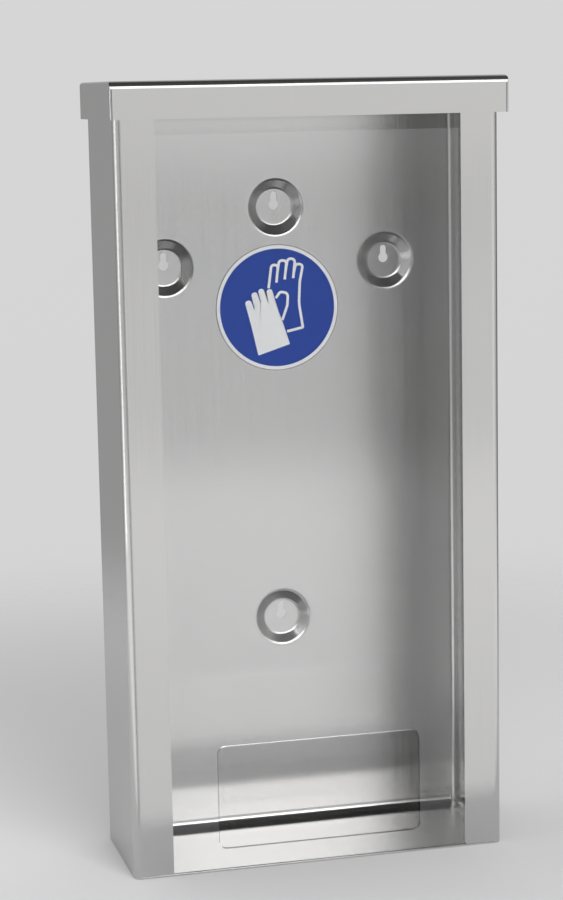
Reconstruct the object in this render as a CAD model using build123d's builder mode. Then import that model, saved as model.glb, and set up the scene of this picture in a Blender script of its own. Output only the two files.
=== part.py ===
"""Dispenser for boxes of disposable gloves: a folded stainless shell with a loose lid.

The sheet shell stands on its floor or hangs on four keyholes. Each keyhole sits in an
embossed dimple that holds the shell off the wall, so that the lid's rear skirt has room.
Gloves are drawn through the cut-out at the foot of a clear window, which slides down
behind the front flanges and is trapped by the lid.

Frame: millimetres, +Z up, front towards -Y, origin at the centre of the overall
footprint on the standing surface.
"""
from build123d import *
from math import atan2, sqrt, tan
import os

# ---- Shell
body_width = 296.0
body_depth = 109.5
body_height = 600.0
sheet = 1.2
corner_radius = 6.0  # outside of the four upright bends
flange_width = 30.5  # front flange, from the side's outer face
flange_corner = 3.0  # rounded foot of each front flange
seam_gap = 0.4  # unwelded slit between a front flange and the floor
floor_bend = 7.0  # inside of the bend from back to floor
bend_relief = 0.6  # notch at each end of that bend
foot_flange = 7.5  # side's foot folded in over the floor, from the side's outer face
foot_bend = 2.5
foot_setback = 9.0  # the foot flange starts this far behind the shell's front
foot_tail = 12.0  # and ends this far ahead of its back

# ---- Lid
lid_sheet = 1.5
lid_height = 27.8
lid_side_overhang = 4.0
lid_front_overhang = 11.0
lid_rear_overhang = 5.0
lid_bend = 6.0  # outside of the long bends, in front and behind
lid_end_bend = 2.6  # outside of the short bends at the two ends
lid_corner = 1.4  # filed round the upright corners
lid_play = 0.02  # between the shell's back edge and the bend that rests on it
lid_corner_slit = 0.4

# ---- Embossed dimples and their keyholes
dimple_rim_radius = 22.4
dimple_flat_radius = 14.4
dimple_depth = 5.5
dimple_bend = 4.4
dimple_apron = 4.0  # flat ring of panel made with each dimple
side_dimple_x = 90.0
side_dimple_z = 457.0
top_dimple_z = 502.0
bottom_dimple_z = 171.0
keyhole_entry = 8.0
keyhole_slot = 5.0
keyhole_entry_rise = 1.8  # entry centre above the dimple's centre
keyhole_travel = 7.4  # from entry centre up to the slot end's centre

# ---- Window and its guides
window_thickness = 3.0
window_gap = 0.3  # play in front of the window and behind it
window_side_gap = 1.0
window_top_gap = 37.5  # below the top of the shell
window_lap = 13.5  # how far the window reaches behind each front flange
cutout_width = 161.5
cutout_height = 81.0
cutout_foot = 16.0  # from the window's lower edge
cutout_corner = 6.0
guide_sheet = 1.0
guide_lip = 9.5
guide_foot_gap = 0.5  # from the guide's foot to the bend of the shell's front corner
guide_bend = 0.8
guide_rise = 2.0  # above the side's foot flange
guide_top_gap = 34.0  # below the top of the shell

# ---- Sign
sign_diameter = 100.0
sign_thickness = 0.3
sign_z = 422.5

# ---- Places worked out from the sizes above
overall_depth = lid_front_overhang + body_depth + dimple_depth
front_y = lid_front_overhang - overall_depth / 2
back_y = front_y + body_depth
middle_y = (front_y + back_y) / 2
panel_y = back_y - sheet  # inner face of the back panel
side_x = body_width / 2
opening_width = body_width - 2 * flange_width
foot_top = 2 * sheet


def bend_rise(outer_bend, overhang):
    """How far a lid bend that curves over the shell's edge holds the lid up."""
    inner_bend = outer_bend - lid_sheet
    inset = max(0, inner_bend - (overhang - lid_sheet))
    return inner_bend - sqrt(inner_bend**2 - inset**2)


rear_rise = bend_rise(lid_bend, lid_rear_overhang)
end_rise = bend_rise(lid_end_bend, lid_side_overhang)
lid_underside = body_height + max(rear_rise, end_rise) + lid_play
dimple_spots = (
    (0, top_dimple_z),
    (-side_dimple_x, side_dimple_z),
    (side_dimple_x, side_dimple_z),
    (0, bottom_dimple_z),
)
back_plane = Plane(origin=(0, panel_y, 0), x_dir=(1, 0, 0), z_dir=(0, -1, 0))


# ---- One embossed dimple, with its axis along Y and the panel's inner face at y = 0
dimple_slope = atan2(dimple_depth, dimple_rim_radius - dimple_flat_radius)
slope_shift = sheet * tan(dimple_slope / 2)
apron_radius = dimple_rim_radius + dimple_apron
tight_bend = dimple_bend
wide_bend = dimple_bend + sheet

with BuildPart() as dimple:
    with BuildSketch(Plane.XY) as dimple_section:
        with BuildLine():
            inner_face = FilletPolyline(
                (apron_radius, 0),
                (dimple_rim_radius, 0),
                (dimple_flat_radius, dimple_depth),
                (0, dimple_depth),
                radius=[wide_bend, tight_bend],
            )
            outer_face = FilletPolyline(
                (apron_radius, sheet),
                (dimple_rim_radius + slope_shift, sheet),
                (dimple_flat_radius + slope_shift, dimple_depth + sheet),
                (0, dimple_depth + sheet),
                radius=[tight_bend, wide_bend],
            )
            Line(inner_face @ 0, outer_face @ 0)
            Line(inner_face @ 1, outer_face @ 1)
        make_face()
    revolve(axis=Axis.Y)
    with BuildSketch(Plane.XZ) as keyhole:
        with Locations((0, keyhole_entry_rise)):
            Circle(keyhole_entry / 2)
        with Locations((0, keyhole_entry_rise + keyhole_travel)):
            Circle(keyhole_slot / 2)
        with Locations((0, keyhole_entry_rise + keyhole_travel / 2)):
            Rectangle(keyhole_slot, keyhole_travel)
    extrude(amount=-(dimple_depth + 2 * sheet), mode=Mode.SUBTRACT)


# ---- Shell: back, sides, front flanges and floor, folded from one sheet
with BuildPart() as body_shell:
    # Upright walls, standing on the floor's edge
    with BuildSketch(Plane.XY.offset(sheet)) as wall_plan:
        with Locations((0, middle_y)):
            RectangleRounded(body_width, body_depth, corner_radius)
            RectangleRounded(
                body_width - 2 * sheet,
                body_depth - 2 * sheet,
                corner_radius - sheet,
                mode=Mode.SUBTRACT,
            )
        with Locations((0, front_y)):
            Rectangle(opening_width, 2 * corner_radius, mode=Mode.SUBTRACT)
    extrude(amount=body_height - sheet)

    # Rounded foot of each front flange, and the slit under it
    for side in (-1, 1):
        with BuildSketch(Plane.XZ.offset(-front_y)) as flange_trim:
            with Locations((side * opening_width / 2, sheet)):
                Rectangle(2 * flange_corner, 2 * flange_corner)
            with Locations((side * (opening_width / 2 + flange_corner), sheet + flange_corner)):
                Circle(flange_corner, mode=Mode.SUBTRACT)
            slit_length = flange_width - corner_radius
            with Locations((side * (side_x - corner_radius - slit_length / 2), sheet + seam_gap / 2)):
                Rectangle(slit_length, seam_gap)
        extrude(amount=-sheet, mode=Mode.SUBTRACT)

    # Back and floor: the panel's foot makes way for the bend, with a notch at each end
    floor_outer_bend = floor_bend + sheet
    bend_half_length = side_x - corner_radius - bend_relief
    with BuildSketch(Plane.XY.offset(sheet)) as panel_foot:
        with Locations((0, panel_y)):
            Rectangle(
                2 * (bend_half_length + bend_relief),
                2 * sheet,
                align=(Align.CENTER, Align.MIN),
            )
    extrude(amount=floor_bend, mode=Mode.SUBTRACT)

    with BuildSketch(Plane.XY) as floor_plan:
        with Locations((0, middle_y)):
            RectangleRounded(body_width, body_depth, corner_radius)
        with Locations((0, back_y)):
            Rectangle(
                2 * (bend_half_length + bend_relief),
                2 * floor_outer_bend,
                mode=Mode.SUBTRACT,
            )
    extrude(amount=sheet)

    with BuildSketch(Plane.YZ.offset(-bend_half_length)) as bend_section:
        with Locations((back_y - floor_outer_bend, floor_outer_bend)):
            Circle(floor_outer_bend)
            Circle(floor_bend, mode=Mode.SUBTRACT)
            Rectangle(
                floor_outer_bend,
                floor_outer_bend,
                align=(Align.MIN, Align.MAX),
                mode=Mode.INTERSECT,
            )
    extrude(amount=2 * bend_half_length)

    # Foot of each side, folded in over the floor
    for side in (-1, 1):
        foot_length = body_depth - foot_setback - foot_tail
        with BuildSketch(Plane.XZ.offset(-(front_y + foot_setback))) as foot_section:
            with BuildLine():
                wall_x = side * (side_x - sheet)
                Polyline(
                    (side * (side_x - foot_flange), sheet),
                    (side * (side_x - foot_flange), foot_top),
                    (wall_x - side * foot_bend, foot_top),
                )
                RadiusArc(
                    (wall_x - side * foot_bend, foot_top),
                    (wall_x, foot_top + foot_bend),
                    side * foot_bend,
                )
                Polyline(
                    (wall_x, foot_top + foot_bend),
                    (wall_x, sheet),
                    (side * (side_x - foot_flange), sheet),
                )
            make_face()
        extrude(amount=-foot_length)

    # Embossed dimples, each replacing a disc of the back panel
    for spot_x, spot_z in dimple_spots:
        with BuildSketch(back_plane) as dimple_seat:
            with Locations((spot_x, spot_z)):
                Circle(apron_radius)
        extrude(amount=-sheet, mode=Mode.SUBTRACT)
        with Locations((spot_x, panel_y, spot_z)):
            add(dimple.part)

body_shell.part.label = "body_shell"


# ---- Lid: a loose folded cap with butted corners
lid_width = body_width + 2 * lid_side_overhang
lid_depth = lid_front_overhang + body_depth + lid_rear_overhang
lid_middle_y = front_y - lid_front_overhang + lid_depth / 2
lid_top = lid_underside + lid_sheet
lid_foot = lid_top - lid_height


def lid_block(inset):
    """Solid cap with the lid's bends, its faces and bends brought in by the inset."""
    width = lid_width - 2 * inset
    depth = lid_depth - 2 * inset
    height = lid_height - inset
    with BuildPart() as block:
        with Locations((0, lid_middle_y, lid_foot)):
            Box(width, depth, height, align=(Align.CENTER, Align.CENTER, Align.MIN))
        with BuildSketch(Plane.YZ.offset(-width)) as long_bends:
            with Locations((lid_middle_y, lid_foot)):
                RectangleRounded(depth, 2 * height, lid_bend - inset)
        extrude(amount=2 * width, mode=Mode.INTERSECT)
        with BuildSketch(Plane.XZ.offset(-2 * depth)) as end_bends:
            with Locations((0, lid_foot)):
                RectangleRounded(width, 2 * height, lid_end_bend - inset)
        extrude(amount=4 * depth, mode=Mode.INTERSECT)
    return block.part


with BuildPart() as lid:
    add(lid_block(0))
    with BuildSketch(Plane.XY.offset(lid_foot)) as lid_plan:
        with Locations((0, lid_middle_y)):
            RectangleRounded(lid_width, lid_depth, lid_corner)
    extrude(amount=lid_height, mode=Mode.INTERSECT)
    add(lid_block(lid_sheet), mode=Mode.SUBTRACT)

    slit_height = lid_height - lid_bend
    slit_x = lid_width / 2 - lid_sheet - lid_corner_slit / 2
    for side in (-1, 1):
        for end in (-1, 1):
            with Locations((side * slit_x, lid_middle_y + end * lid_depth / 2, lid_foot)):
                Box(
                    lid_corner_slit,
                    2 * lid_sheet,
                    slit_height,
                    align=(Align.CENTER, Align.CENTER, Align.MIN),
                    mode=Mode.SUBTRACT,
                )

lid.part.label = "lid"


# ---- Window: a clear sheet standing on the floor behind the front flanges
window_front = front_y + sheet + window_gap
window_width = opening_width + 2 * window_lap
window_height = body_height - window_top_gap - sheet

with BuildPart() as window:
    with BuildSketch(Plane.XZ.offset(-window_front)) as window_face:
        with Locations((0, sheet)):
            Rectangle(window_width, window_height, align=(Align.CENTER, Align.MIN))
        with Locations((0, sheet + cutout_foot + cutout_height / 2)):
            RectangleRounded(cutout_width, cutout_height, cutout_corner, mode=Mode.SUBTRACT)
    extrude(amount=-window_thickness)

window.part.label = "window"


# ---- Guides: one folded strip behind each front flange, with its lip behind the window
guide_foot_z = foot_top + guide_rise
guide_length = body_height - guide_top_gap - guide_foot_z
web_x = window_width / 2 + window_side_gap
foot_x = side_x - corner_radius - guide_foot_gap
seat_y = front_y + sheet
lip_y = window_front + window_thickness + window_gap


def window_guide(side):
    """Z-shaped strip on the given side (-1 left, 1 right), its foot on the flange."""
    with BuildPart() as guide:
        with BuildSketch(Plane.XY.offset(guide_foot_z)) as guide_section:
            with BuildLine():
                near_face = FilletPolyline(
                    (side * foot_x, seat_y),
                    (side * web_x, seat_y),
                    (side * web_x, lip_y),
                    (side * (web_x - guide_lip), lip_y),
                    radius=[guide_bend + guide_sheet, guide_bend],
                )
                far_face = FilletPolyline(
                    (side * foot_x, seat_y + guide_sheet),
                    (side * (web_x + guide_sheet), seat_y + guide_sheet),
                    (side * (web_x + guide_sheet), lip_y + guide_sheet),
                    (side * (web_x - guide_lip), lip_y + guide_sheet),
                    radius=[guide_bend, guide_bend + guide_sheet],
                )
                Line(near_face @ 0, far_face @ 0)
                Line(near_face @ 1, far_face @ 1)
            make_face()
        extrude(amount=guide_length)
    return guide.part


window_guide_left = window_guide(-1)
window_guide_left.label = "window_guide_left"
window_guide_right = window_guide(1)
window_guide_right.label = "window_guide_right"


# ---- Sign: a thin round sticker on the back panel
with BuildPart() as glove_sign:
    with BuildSketch(back_plane) as sign_face:
        with Locations((0, sign_z)):
            Circle(sign_diameter / 2)
    extrude(amount=sign_thickness)

glove_sign.part.label = "glove_sign"


# ---- One file for each piece
os.makedirs("parts", exist_ok=True)
export_step(body_shell.part, "parts/body_shell.step")
export_step(lid.part, "parts/lid.step")
export_step(window.part, "parts/window.step")
export_step(window_guide_left, "parts/window_guide_left.step")
export_step(window_guide_right, "parts/window_guide_right.step")
export_step(glove_sign.part, "parts/glove_sign.step")
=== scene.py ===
"""Looks of the glove dispenser: brushed sheet, clear window, round sign, studio and camera."""
import bmesh
import bpy
import math
from mathutils import Matrix, Vector


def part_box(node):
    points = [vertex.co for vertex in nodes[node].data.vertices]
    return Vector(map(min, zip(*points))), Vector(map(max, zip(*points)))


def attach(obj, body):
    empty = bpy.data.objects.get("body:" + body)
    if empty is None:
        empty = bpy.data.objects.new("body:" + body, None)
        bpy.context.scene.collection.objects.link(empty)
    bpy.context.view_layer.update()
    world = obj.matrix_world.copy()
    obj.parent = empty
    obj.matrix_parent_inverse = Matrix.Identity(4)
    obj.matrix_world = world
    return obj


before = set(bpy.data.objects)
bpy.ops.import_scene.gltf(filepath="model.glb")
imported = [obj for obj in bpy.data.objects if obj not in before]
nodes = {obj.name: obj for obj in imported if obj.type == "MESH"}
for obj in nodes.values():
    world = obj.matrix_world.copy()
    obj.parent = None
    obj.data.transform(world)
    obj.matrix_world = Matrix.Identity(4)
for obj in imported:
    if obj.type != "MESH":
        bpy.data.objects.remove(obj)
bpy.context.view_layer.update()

# ---- Camera, solved from the shell's and the lid's edges (metres, degrees)
PHOTO_HEIGHT_PX = 900
FOCAL_PX = 2304.7
SENSOR_MM = 36.0
EYE = Vector((-0.4555, -1.7130, 0.5935))
YAW = 14.483
PITCH = 8.889
ROLL = 1.082

# ---- Colours (linear)
STEEL = (0.585, 0.58, 0.576)
GUIDE_STEEL = (0.44, 0.435, 0.43)
FLOOR_PALE = (0.85, 0.85, 0.86)
GRAIN_FINE = 900.0  # scale of the steel's streaks across and along them, per metre
GRAIN_LONG = 9.0
SIGN_BLUE = (0.002, 0.046, 0.34)
# painted shade: dark colour of the thin ring that stands in for the shadow at the sign's edge
SIGN_EDGE_SHADE = (0.10, 0.095, 0.08)
SIGN_WHITE = (0.86, 0.87, 0.88)

# ---- The sign's print, in millimetres from the sign's centre: x, height, corner radius
MM = 0.001
SIGN_CENTRE = (0.0, 0.4225)
PRINT_THICK = 0.06 * MM
RIM_INNER = 46.8
RIM_OUTER = 49.55
EDGE_OUTER = 50.0
RIM_CORNERS = 160
LINE_WIDTH = 2.1
LINE_LIFT = 0.7  # of the print's thickness, so that crossing lines never share a plane
LINE_LIFT_STEP = 0.05
FILLED_GLOVE = (
    (-16.3, -37.6, 0.6), (9.8, -29.5, 0.6), (3.4, -9.5, 14.0), (-0.6, 1.5, 8.0),
    (-4.3, 14.8, 2.2), (-9.0, 14.9, 2.2), (-6.6, 0.4, 0.25),
    (-11.1, 15.6, 2.15), (-15.8, 15.2, 2.15), (-12.1, -1.2, 0.25),
    (-16.8, 13.2, 2.15), (-21.4, 12.1, 2.15), (-17.8, -4.0, 0.25),
    (-21.9, 6.9, 2.15), (-26.6, 5.7, 2.15), (-21.5, -14.3, 12.0),
)
LINE_GLOVE = (
    ((-6.9, 15.6, 0), (-4.3, 33.8, 2.45), (1.2, 34.0, 2.45), (-0.4, 19.8, 0)),
    ((0.3, 26.5, 0), (2.1, 37.2, 2.6), (8.3, 37.2, 2.6), (6.4, 22.1, 0)),
    ((7.2, 28.5, 0), (9.2, 38.6, 2.6), (15.2, 38.0, 2.6), (13.4, 22.9, 0)),
    ((14.1, 27.5, 0), (15.6, 34.0, 2.4), (21.6, 33.6, 2.4), (18.7, 19.8, 20.0),
     (17.8, 2.7, 30.0), (20.7, -16.6, 0.6), (7.6, -19.3, 0)),
    ((-1.1, 7.6, 0), (2.4, 12.4, 2.6), (8.9, 11.4, 3.4), (8.2, 1.5, 12.0), (3.9, -10.0, 0)),
)

# ---- Floor, by metres from its centre: where it is solid and where it has faded
FLOOR_SOLID = 0.45
FLOOR_REACH = 1.3
FLOOR_FRONT_SOLID = 0.155  # reflections see the floor end in front of the object
FLOOR_FRONT_REACH = 0.215

# ---- Room light, as (degrees above the horizon, level)
ROOM_TOP = 3.0
BACKDROP_LEVELS = ((-90, 0.60), (-18, 0.66), (0, 0.67), (10, 0.69), (90, 0.69))  # what the camera sees
SIDE_LEVELS = (
    (-90, 0.60), (-25, 0.62), (-20, 1.20), (-12, 1.20), (-8, 0.68), (10, 0.68), (20, 0.45),
    (40, 0.35), (47, 0.05), (90, 0.05))
BACK_LEVELS = (
    (-90, 0.60), (-18, 0.66), (0, 0.67), (10, 0.69), (18, 0.55), (55, 0.50), (65, 0.05), (90, 0.05))
LEFT_LEVELS = (
    (-90, 0.75), (-20, 0.80), (-17, 1.05), (-14, 0.85), (-11, 0.34), (10, 0.36), (20, 0.40),
    (47, 0.05), (90, 0.05))
FRONT_LEVELS = (
    (-90, 0.03), (-34, 0.04), (-24, 0.88), (-15, 0.94), (-10, 1.10), (-5, 1.16), (-1.5, 0.98),
    (7, 0.88), (10, 0.95), (16, 1.70), (19, ROOM_TOP), (38, ROOM_TOP), (42, 0.05), (90, 0.05))
CORNER_LEVELS = (
    (-90, 0.06), (-20, 0.06), (8, 0.08), (13, 1.70), (17, ROOM_TOP), (38, ROOM_TOP),
    (42, 0.05), (90, 0.05))
SIGN_LEVELS = (
    (-90, 0.03), (-34, 0.04), (-24, 0.88), (-15, 0.98), (-10, 1.10), (-8.5, 0.32), (-2.5, 0.32),
    (-1, 0.98), (7, 0.92), (10, 0.95), (16, 1.70), (19, ROOM_TOP), (38, ROOM_TOP), (42, 0.05),
    (90, 0.05))
FRONT_RIGHT_LEVELS = (
    (-90, 0.03), (-34, 0.04), (-24, 0.88), (-15, 0.94), (-5, 1.10), (20, 1.00), (38, 0.90),
    (47, 0.20), (90, 0.05))

# ---- Where each of them lies, in degrees from straight in front, + to the right
SOFTBOX_AZIMUTH = 14
SOFTBOX_HALF = 36
SOFTBOX_FADE = 14
FRONT_PATCHES = (  # from, to, levels
    (-27, -12, CORNER_LEVELS),  # darkens the right inner wall
    (12, 17, SIGN_LEVELS),  # keeps the window's own mirror off the sign
    (36, 80, FRONT_RIGHT_LEVELS),  # keeps the soft box off the lid's top from behind
)
PATCH_FADE = 3
BACK_ZONE = (95, 125)  # the back's light fades in between these

# ---- The same from straight behind, + to the right
LEFT_ZONE = (6, -22)
RIGHT_ZONE_IN = (24, 36)
RIGHT_ZONE_OUT = (100, 85)
RIGHT_ZONE_RISE = (30, 14)  # degrees above the horizon where it fades in, downwards
RIGHT_SHARE = 0.30  # of the back's light

# ---- Lamps: place, size, watts, target; glowing discs behind the keyholes, painted shade of a wall seen through them
LEFT_LAMP = ((-1.2, -0.10, 0.36), (0.14, 0.62), 1.0, (0.0, 0.0, 0.36))
TOP_LAMP = ((-0.35, 0.40, 2.1), (1.6, 1.4), 12.5, (0.0, 0.1, 0.0))
FRONT_LAMP = ((0.25, -1.6, 1.3), (0.8, 0.8), 10.0, (0.0, 0.0, 0.35))
SHADE_Y = 0.0634
SHADE_RADIUS = 0.011
SHADE_CORNERS = 24
SHADE_PLACES = ((0.0, 0.5068), (-0.090, 0.4618), (0.090, 0.4618), (0.0, 0.1758))
# painted shade: the glow that stands in for a shaded wall behind the keyholes
SHADE_LEVEL = 0.56


# ---------------------------------------------------------------- node helpers
def new_material(name):
    """A material with an empty node tree and its output."""
    mat = bpy.data.materials.new(name)
    mat.use_nodes = True
    mat.node_tree.nodes.clear()
    out = mat.node_tree.nodes.new("ShaderNodeOutputMaterial")
    return mat, mat.node_tree, out


def node(tree, kind, **settings):
    """A new node with its settings."""
    made = tree.nodes.new(kind)
    for key, value in settings.items():
        setattr(made, key, value)
    return made


def link(tree, source, target):
    tree.links.new(source, target)


def math_node(tree, operation, a, b=None, c=None):
    """Math node fed with numbers or sockets; returns its output."""
    made = tree.nodes.new("ShaderNodeMath")
    made.operation = operation
    for index, value in enumerate((a, b, c)):
        if value is None:
            continue
        if isinstance(value, (int, float)):
            made.inputs[index].default_value = value
        else:
            tree.links.new(value, made.inputs[index])
    return made.outputs[0]


# ---------------------------------------------------------------- steel
def grain_tangent(tree, normal):
    """Direction across a grain that runs up the walls and front to back on level sheets."""
    split = node(tree, "ShaderNodeSeparateXYZ")
    link(tree, normal, split.inputs[0])
    level = math_node(tree, "ABSOLUTE", split.outputs[2])
    facing = math_node(tree, "ABSOLUTE", split.outputs[1])
    across_x = math_node(tree, "ADD", level, facing)
    behind = math_node(tree, "GREATER_THAN", split.outputs[1], -0.0001)
    sign = math_node(tree, "MULTIPLY_ADD", behind, 2.0, -1.0)
    turned = math_node(tree, "MULTIPLY", split.outputs[0], sign)
    across_y = math_node(tree, "MULTIPLY", turned, -1.0)
    joined = node(tree, "ShaderNodeCombineXYZ")
    link(tree, across_x, joined.inputs[0])
    link(tree, across_y, joined.inputs[1])
    return joined.outputs[0]


def streaks(tree, place, stretch, seed):
    """Noise drawn out along one axis: stretch is the scale in X, Y and Z, per metre."""
    mapping = node(tree, "ShaderNodeMapping")
    mapping.inputs["Scale"].default_value = stretch
    mapping.inputs["Location"].default_value = (seed, seed * 1.7, seed * 0.6)
    link(tree, place, mapping.inputs["Vector"])
    noise = node(tree, "ShaderNodeTexNoise")
    noise.inputs["Scale"].default_value = 1.0
    noise.inputs["Detail"].default_value = 3.0
    noise.inputs["Roughness"].default_value = 0.6
    link(tree, mapping.outputs[0], noise.inputs["Vector"])
    return noise.outputs["Fac"]


def steel(name, tint=STEEL, roughness=0.195, anisotropy=1.0, grain=0.05, waves=0.02, seed=0.0):
    """Brushed stainless: streaks along the grain in colour and roughness, and faint waves."""
    mat, tree, out = new_material(name)
    shader = node(tree, "ShaderNodeBsdfPrincipled")
    shader.inputs["Metallic"].default_value = 1.0
    shader.inputs["Anisotropic"].default_value = anisotropy
    place = node(tree, "ShaderNodeTexCoord").outputs["Object"]
    geometry = node(tree, "ShaderNodeNewGeometry")
    link(tree, grain_tangent(tree, geometry.outputs["Normal"]), shader.inputs["Tangent"])

    upright = streaks(tree, place, (GRAIN_FINE, GRAIN_FINE, GRAIN_LONG), seed)
    level = streaks(tree, place, (GRAIN_FINE, GRAIN_LONG, GRAIN_FINE), seed + 3.0)
    split = node(tree, "ShaderNodeSeparateXYZ")
    link(tree, geometry.outputs["Normal"], split.inputs[0])
    lying = math_node(tree, "ABSOLUTE", split.outputs[2])
    lying = math_node(tree, "GREATER_THAN", lying, 0.7)
    mixed = node(tree, "ShaderNodeMix", data_type="FLOAT")
    link(tree, lying, mixed.inputs[0])
    link(tree, upright, mixed.inputs[2])
    link(tree, level, mixed.inputs[3])
    streak = mixed.outputs[0]

    offset = math_node(tree, "SUBTRACT", streak, 0.5)
    shade = math_node(tree, "MULTIPLY_ADD", offset, 2.0 * grain, 1.0)
    tinted = node(tree, "ShaderNodeVectorMath", operation="SCALE")
    tinted.inputs[0].default_value = tint
    link(tree, shade, tinted.inputs["Scale"])
    link(tree, tinted.outputs[0], shader.inputs["Base Color"])
    rough = math_node(tree, "MULTIPLY_ADD", offset, 0.10, roughness)
    link(tree, rough, shader.inputs["Roughness"])

    broad = node(tree, "ShaderNodeTexNoise")
    broad.inputs["Scale"].default_value = 7.0
    broad.inputs["Detail"].default_value = 1.0
    link(tree, place, broad.inputs["Vector"])
    bump = node(tree, "ShaderNodeBump")
    bump.inputs["Strength"].default_value = 1.0
    bump.inputs["Distance"].default_value = waves * 0.01
    link(tree, broad.outputs["Fac"], bump.inputs["Height"])
    link(tree, bump.outputs[0], shader.inputs["Normal"])
    link(tree, shader.outputs[0], out.inputs[0])
    return mat


# ---------------------------------------------------------------- other materials
def clear_sheet(name):
    """Clear cast acrylic with a slightly weakened mirror."""
    mat, tree, out = new_material(name)
    shader = node(tree, "ShaderNodeBsdfPrincipled")
    shader.inputs["Base Color"].default_value = (0.985, 0.99, 0.99, 1.0)
    shader.inputs["Transmission Weight"].default_value = 1.0
    shader.inputs["IOR"].default_value = 1.49
    shader.inputs["Specular IOR Level"].default_value = 0.35
    shader.inputs["Roughness"].default_value = 0.0
    link(tree, shader.outputs[0], out.inputs[0])
    return mat


def vinyl(name, colour, roughness=0.42):
    """Printed sticker film: even ink with a faint orange-peel in its gloss."""
    mat, tree, out = new_material(name)
    shader = node(tree, "ShaderNodeBsdfPrincipled")
    shader.inputs["Specular IOR Level"].default_value = 0.15
    place = node(tree, "ShaderNodeTexCoord").outputs["Object"]
    cloud = node(tree, "ShaderNodeTexNoise")
    cloud.inputs["Scale"].default_value = 160.0
    cloud.inputs["Detail"].default_value = 2.0
    link(tree, place, cloud.inputs["Vector"])
    shade = math_node(tree, "MULTIPLY_ADD", cloud.outputs["Fac"], 0.08, 0.96)
    tinted = node(tree, "ShaderNodeVectorMath", operation="SCALE")
    tinted.inputs[0].default_value = colour
    link(tree, shade, tinted.inputs["Scale"])
    link(tree, tinted.outputs[0], shader.inputs["Base Color"])
    rough = math_node(tree, "MULTIPLY_ADD", cloud.outputs["Fac"], 0.10, roughness - 0.05)
    link(tree, rough, shader.inputs["Roughness"])
    link(tree, shader.outputs[0], out.inputs[0])
    return mat


# ---------------------------------------------------------------- the sign's print
def rounded_path(corners, closed):
    """Points along straight runs whose corners (x, z, radius) are rounded, in millimetres."""
    points = []
    count = len(corners)
    for index, (x, z, radius) in enumerate(corners):
        here = Vector((x, z))
        if radius == 0 or (not closed and index in (0, count - 1)):
            points.append(here)
            continue
        to_last = (Vector(corners[index - 1][:2]) - here).normalized()
        to_next = (Vector(corners[(index + 1) % count][:2]) - here).normalized()
        half = math.acos(max(-1.0, min(1.0, to_last.dot(to_next)))) / 2
        centre = here + (to_last + to_next).normalized() * (radius / math.sin(half))
        reach = radius / math.tan(half)
        start = here + to_last * reach - centre
        end = here + to_next * reach - centre
        sweep = math.atan2(start.x * end.y - start.y * end.x, start.dot(end))
        steps = max(3, int(abs(sweep) / 0.2))
        for step in range(steps + 1):
            angle = sweep * step / steps
            cos, sin = math.cos(angle), math.sin(angle)
            turned = Vector((start.x * cos - start.y * sin, start.x * sin + start.y * cos))
            points.append(centre + turned)
    return points


def stroke_outline(points, width):
    """Closed outline of a line of the given width along open points."""
    left, right = [], []
    for index, here in enumerate(points):
        before = points[max(index - 1, 0)]
        after = points[min(index + 1, len(points) - 1)]
        along = (after - before).normalized()
        across = Vector((-along.y, along.x)) * (width / 2)
        left.append(here + across)
        right.append(here - across)
    return left, right


def print_piece(name, rings, material, lift):
    """Thin film on the sign: rings are (near, far) edge lists joined by quads, or one filled outline."""
    front_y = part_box("glove_sign")[0][1] - lift
    centre_x, centre_z = SIGN_CENTRE
    shape = bmesh.new()

    def place(point, y):
        return shape.verts.new((centre_x + point.x * MM, y, centre_z + point.y * MM))

    back_y = front_y + PRINT_THICK
    if isinstance(rings, tuple):
        near, far, closed = rings
        rows = [[place(point, y) for point in edge] for edge, y in
                ((near, front_y), (far, front_y), (far, back_y), (near, back_y))]
        count = len(near)
        for index in range(count if closed else count - 1):
            after = (index + 1) % count
            for row, other in zip(rows, rows[1:] + rows[:1]):
                shape.faces.new((row[index], row[after], other[after], other[index]))
        if not closed:
            shape.faces.new([row[0] for row in rows])
            shape.faces.new([row[-1] for row in rows])
    else:
        front = [place(point, front_y) for point in rings]
        back = [place(point, back_y) for point in rings]
        shape.faces.new(front)
        shape.faces.new(back)
        for index in range(len(rings)):
            after = (index + 1) % len(rings)
            shape.faces.new((front[index], front[after], back[after], back[index]))
        bmesh.ops.triangulate(shape, faces=[face for face in shape.faces if len(face.verts) > 4])
    bmesh.ops.recalc_face_normals(shape, faces=shape.faces)
    mesh = bpy.data.meshes.new(name)
    shape.to_mesh(mesh)
    shape.free()
    mesh.materials.append(material)
    piece = bpy.data.objects.new(name, mesh)
    bpy.context.scene.collection.objects.link(piece)
    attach(piece, "root")
    return piece


def circle(radius, corners):
    """Points round a circle."""
    angles = [index * math.tau / corners for index in range(corners)]
    return [Vector((radius * math.cos(angle), radius * math.sin(angle))) for angle in angles]


def make_sign():
    """White rim and a pair of gloves, one filled and one drawn as a line behind it."""
    white = vinyl("sign_white", SIGN_WHITE)

    # painted shade: a thin dark ring round the rim in place of the shadow at the sticker's edge
    edge = vinyl("sign_edge_shade", SIGN_EDGE_SHADE)
    rings = [circle(radius, RIM_CORNERS) for radius in (RIM_INNER, RIM_OUTER, EDGE_OUTER)]
    print_piece("sign_rim", (rings[0], rings[1], True), white, PRINT_THICK)
    print_piece("sign_edge_shade", (rings[1], rings[2], True), edge, PRINT_THICK)
    print_piece("sign_glove_filled", rounded_path(FILLED_GLOVE, True), white, PRINT_THICK)
    for index, corners in enumerate(LINE_GLOVE):
        left, right = stroke_outline(rounded_path(corners, False), LINE_WIDTH)
        lift = PRINT_THICK * (LINE_LIFT + LINE_LIFT_STEP * index)
        print_piece(f"sign_glove_line_{index + 1}", (left, right, False), white, lift)


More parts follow.
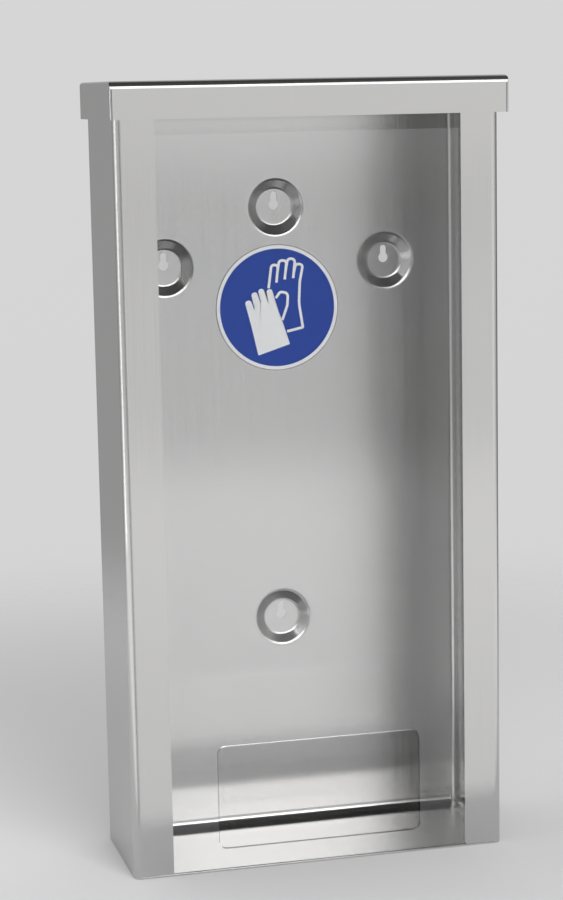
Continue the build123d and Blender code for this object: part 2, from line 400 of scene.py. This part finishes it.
def dress(name, material):
    """Gives a CAD node its one material."""
    obj = nodes[name]
    obj.data.materials.clear()
    obj.data.materials.append(material)
    return obj


# ---------------------------------------------------------------- studio
def make_floor():
    """Round pale floor whose rim fades into the room; reflections see it open in front."""
    mat, tree, out = new_material("studio_pale")
    shader = node(tree, "ShaderNodeBsdfDiffuse")
    shader.inputs[0].default_value = (*FLOOR_PALE, 1.0)
    clear = node(tree, "ShaderNodeBsdfTransparent")
    place = node(tree, "ShaderNodeTexCoord").outputs["Object"]
    reach = node(tree, "ShaderNodeVectorMath", operation="LENGTH")
    link(tree, place, reach.inputs[0])
    fade = node(tree, "ShaderNodeMapRange", interpolation_type="SMOOTHSTEP")
    fade.inputs["From Min"].default_value = FLOOR_SOLID
    fade.inputs["From Max"].default_value = FLOOR_REACH
    link(tree, reach.outputs["Value"], fade.inputs["Value"])
    split = node(tree, "ShaderNodeSeparateXYZ")
    link(tree, place, split.inputs[0])
    ahead = node(tree, "ShaderNodeMapRange", interpolation_type="SMOOTHSTEP")
    ahead.inputs["From Min"].default_value = -FLOOR_FRONT_SOLID
    ahead.inputs["From Max"].default_value = -FLOOR_FRONT_REACH
    link(tree, split.outputs[1], ahead.inputs["Value"])
    unseen = math_node(tree, "SUBTRACT", 1.0, node(tree, "ShaderNodeLightPath").outputs["Is Camera Ray"])
    open_front = math_node(tree, "MULTIPLY", ahead.outputs[0], unseen)
    mixed = node(tree, "ShaderNodeMixShader")
    link(tree, math_node(tree, "MAXIMUM", fade.outputs[0], open_front), mixed.inputs[0])
    link(tree, shader.outputs[0], mixed.inputs[1])
    link(tree, clear.outputs[0], mixed.inputs[2])
    link(tree, mixed.outputs[0], out.inputs[0])
    mesh = bpy.data.meshes.new("studio_floor")
    shape = bmesh.new()
    bmesh.ops.create_circle(shape, cap_ends=True, segments=96, radius=FLOOR_REACH)
    shape.to_mesh(mesh)
    shape.free()
    mesh.materials.append(mat)
    floor = bpy.data.objects.new("studio_floor", mesh)
    bpy.context.scene.collection.objects.link(floor)


def level_ramp(tree, share, levels):
    """Light level against height above the horizon, as a share of ROOM_TOP."""
    ramp = node(tree, "ShaderNodeValToRGB")
    ramp.color_ramp.interpolation = "LINEAR"
    elements = ramp.color_ramp.elements
    while len(elements) < len(levels):
        elements.new(0.5)
    for element, (degrees, level) in zip(elements, levels):
        element.position = degrees / 180.0 + 0.5
        element.color = (level / ROOM_TOP, level / ROOM_TOP, level / ROOM_TOP, 1.0)
    link(tree, share, ramp.inputs[0])
    return ramp.outputs[0]


def make_world():
    """A room by height above the horizon; the camera itself sees a plain backdrop."""
    world = bpy.data.worlds.new("room")
    bpy.context.scene.world = world
    world.use_nodes = True
    tree = world.node_tree
    tree.nodes.clear()
    out = node(tree, "ShaderNodeOutputWorld")
    background = node(tree, "ShaderNodeBackground")
    place = node(tree, "ShaderNodeTexCoord").outputs["Generated"]
    split = node(tree, "ShaderNodeSeparateXYZ")
    link(tree, place, split.inputs[0])
    rise = math_node(tree, "ARCSINE", split.outputs[2])
    share = math_node(tree, "MULTIPLY_ADD", rise, 1.0 / math.pi, 0.5)
    ahead = math_node(tree, "MULTIPLY", split.outputs[1], -1.0)
    around = math_node(tree, "ARCTAN2", split.outputs[0], ahead)

    def zone(source, start, end):
        """0 at the start angle and 1 at the end angle, in degrees."""
        ease = node(tree, "ShaderNodeMapRange", interpolation_type="SMOOTHSTEP")
        ease.inputs["From Min"].default_value = math.radians(start)
        ease.inputs["From Max"].default_value = math.radians(end)
        link(tree, source, ease.inputs["Value"])
        return ease.outputs[0]

    def both(one, other):
        return math_node(tree, "MULTIPLY", one, other)

    def blended(factor, low, high):
        """Colour low where the factor is 0, high where it is 1."""
        mixed = node(tree, "ShaderNodeMix", data_type="RGBA")
        for source, socket in ((factor, 0), (low, 6), (high, 7)):
            link(tree, source, mixed.inputs[socket])
        return mixed.outputs[2]

    off_axis = math_node(tree, "SUBTRACT", around, math.radians(SOFTBOX_AZIMUTH))
    front = zone(math_node(tree, "ABSOLUTE", off_axis), SOFTBOX_HALF + SOFTBOX_FADE, SOFTBOX_HALF)
    back = zone(math_node(tree, "ABSOLUTE", around), *BACK_ZONE)
    rear_turn = math_node(tree, "ARCTAN2", split.outputs[0], split.outputs[1])
    left_part = zone(rear_turn, *LEFT_ZONE)
    right_part = both(zone(rear_turn, *RIGHT_ZONE_IN), zone(rear_turn, *RIGHT_ZONE_OUT))
    right_part = both(right_part, zone(rise, *RIGHT_ZONE_RISE))
    rear = blended(left_part, level_ramp(tree, share, BACK_LEVELS), level_ramp(tree, share, LEFT_LEVELS))
    colour = blended(back, level_ramp(tree, share, SIDE_LEVELS), rear)
    ahead_light = level_ramp(tree, share, FRONT_LEVELS)
    for start, end, levels in FRONT_PATCHES:
        patch = both(zone(around, start - PATCH_FADE, start), zone(around, end + PATCH_FADE, end))
        ahead_light = blended(patch, ahead_light, level_ramp(tree, share, levels))
    colour = blended(front, colour, ahead_light)
    seen = node(tree, "ShaderNodeLightPath").outputs["Is Camera Ray"]
    link(tree, blended(seen, colour, level_ramp(tree, share, BACKDROP_LEVELS)), background.inputs[0])
    dimmed = both(right_part, math_node(tree, "SUBTRACT", 1.0, seen))
    level = math_node(tree, "MULTIPLY_ADD", dimmed, (RIGHT_SHARE - 1.0) * ROOM_TOP, ROOM_TOP)
    link(tree, level, background.inputs[1])
    link(tree, background.outputs[0], out.inputs[0])


def make_shade():
    """Glowing discs right behind the keyholes, painting the shade of a wall there; seen only from the
    front.
    """
    mat, tree, out = new_material("studio_painted_shade")
    # painted shade: a fixed glow in place of a shaded wall behind the keyholes
    shader = node(tree, "ShaderNodeEmission")
    shader.inputs[0].default_value = (SHADE_LEVEL, SHADE_LEVEL, SHADE_LEVEL, 1.0)
    clear = node(tree, "ShaderNodeBsdfTransparent")
    mixed = node(tree, "ShaderNodeMixShader")
    link(tree, node(tree, "ShaderNodeNewGeometry").outputs["Backfacing"], mixed.inputs[0])
    link(tree, shader.outputs[0], mixed.inputs[1])
    link(tree, clear.outputs[0], mixed.inputs[2])
    link(tree, mixed.outputs[0], out.inputs[0])
    shape = bmesh.new()
    for x, z in SHADE_PLACES:
        shape.faces.new([shape.verts.new((x + spot.x, SHADE_Y, z + spot.y))
                         for spot in circle(SHADE_RADIUS, SHADE_CORNERS)])
    mesh = bpy.data.meshes.new("studio_painted_shade")
    shape.to_mesh(mesh)
    shape.free()
    mesh.materials.append(mat)
    shade = bpy.data.objects.new("studio_painted_shade", mesh)
    bpy.context.scene.collection.objects.link(shade)
    shade.visible_glossy = False
    shade.visible_diffuse = False
    shade.visible_shadow = False


def make_lamp(name, place, size, watts, target, in_mirrors):
    """Soft rectangular lamp aimed at a point."""
    lamp = bpy.data.lights.new(name, "AREA")
    lamp.shape = "RECTANGLE"
    lamp.size, lamp.size_y = size
    lamp.energy = watts
    held = bpy.data.objects.new(name, lamp)
    held.location = place
    held.rotation_euler = (Vector(target) - Vector(place)).to_track_quat("-Z", "Y").to_euler()
    held.visible_camera = False
    held.visible_glossy = in_mirrors
    held.visible_transmission = in_mirrors
    bpy.context.scene.collection.objects.link(held)


def make_camera():
    """The photograph's own view."""
    yaw, pitch, roll = (math.radians(a) for a in (YAW, PITCH, ROLL))
    ahead = Vector((math.sin(yaw), math.cos(yaw), 0.0))
    right = Vector((math.cos(yaw), -math.sin(yaw), 0.0))
    down = Vector((0.0, 0.0, -1.0))
    look = ahead * math.cos(pitch) + down * math.sin(pitch)
    low = down * math.cos(pitch) - ahead * math.sin(pitch)
    x_axis = right * math.cos(roll) + low * math.sin(roll)
    y_axis = right * math.sin(roll) - low * math.cos(roll)
    lens = bpy.data.cameras.new("photo_camera")
    lens.sensor_fit = "VERTICAL"
    lens.sensor_height = SENSOR_MM
    lens.lens = SENSOR_MM * FOCAL_PX / PHOTO_HEIGHT_PX
    camera = bpy.data.objects.new("photo_camera", lens)
    turn = Matrix((x_axis, y_axis, -look)).transposed()
    camera.matrix_world = Matrix.Translation(EYE) @ turn.to_4x4()
    bpy.context.scene.collection.objects.link(camera)
    bpy.context.scene.camera = camera


make_camera()
make_world()
make_floor()
make_lamp("left_lamp", *LEFT_LAMP, in_mirrors=True)
make_lamp("top_lamp", *TOP_LAMP, in_mirrors=False)
make_lamp("front_lamp", *FRONT_LAMP, in_mirrors=False)
make_shade()
shell_steel = steel("shell_steel", seed=1.0)
lid_steel = steel("lid_steel", seed=5.0)
dress("body_shell", shell_steel)
dress("lid", lid_steel)
guide_steel = steel("guide_steel", tint=GUIDE_STEEL, seed=9.0)
dress("window_guide_left", guide_steel)
dress("window_guide_right", guide_steel)
dress("window", clear_sheet("clear_window")).visible_shadow = False
dress("glove_sign", vinyl("sign_blue", SIGN_BLUE))
make_sign()

bpy.context.scene.view_settings.view_transform = "Standard"
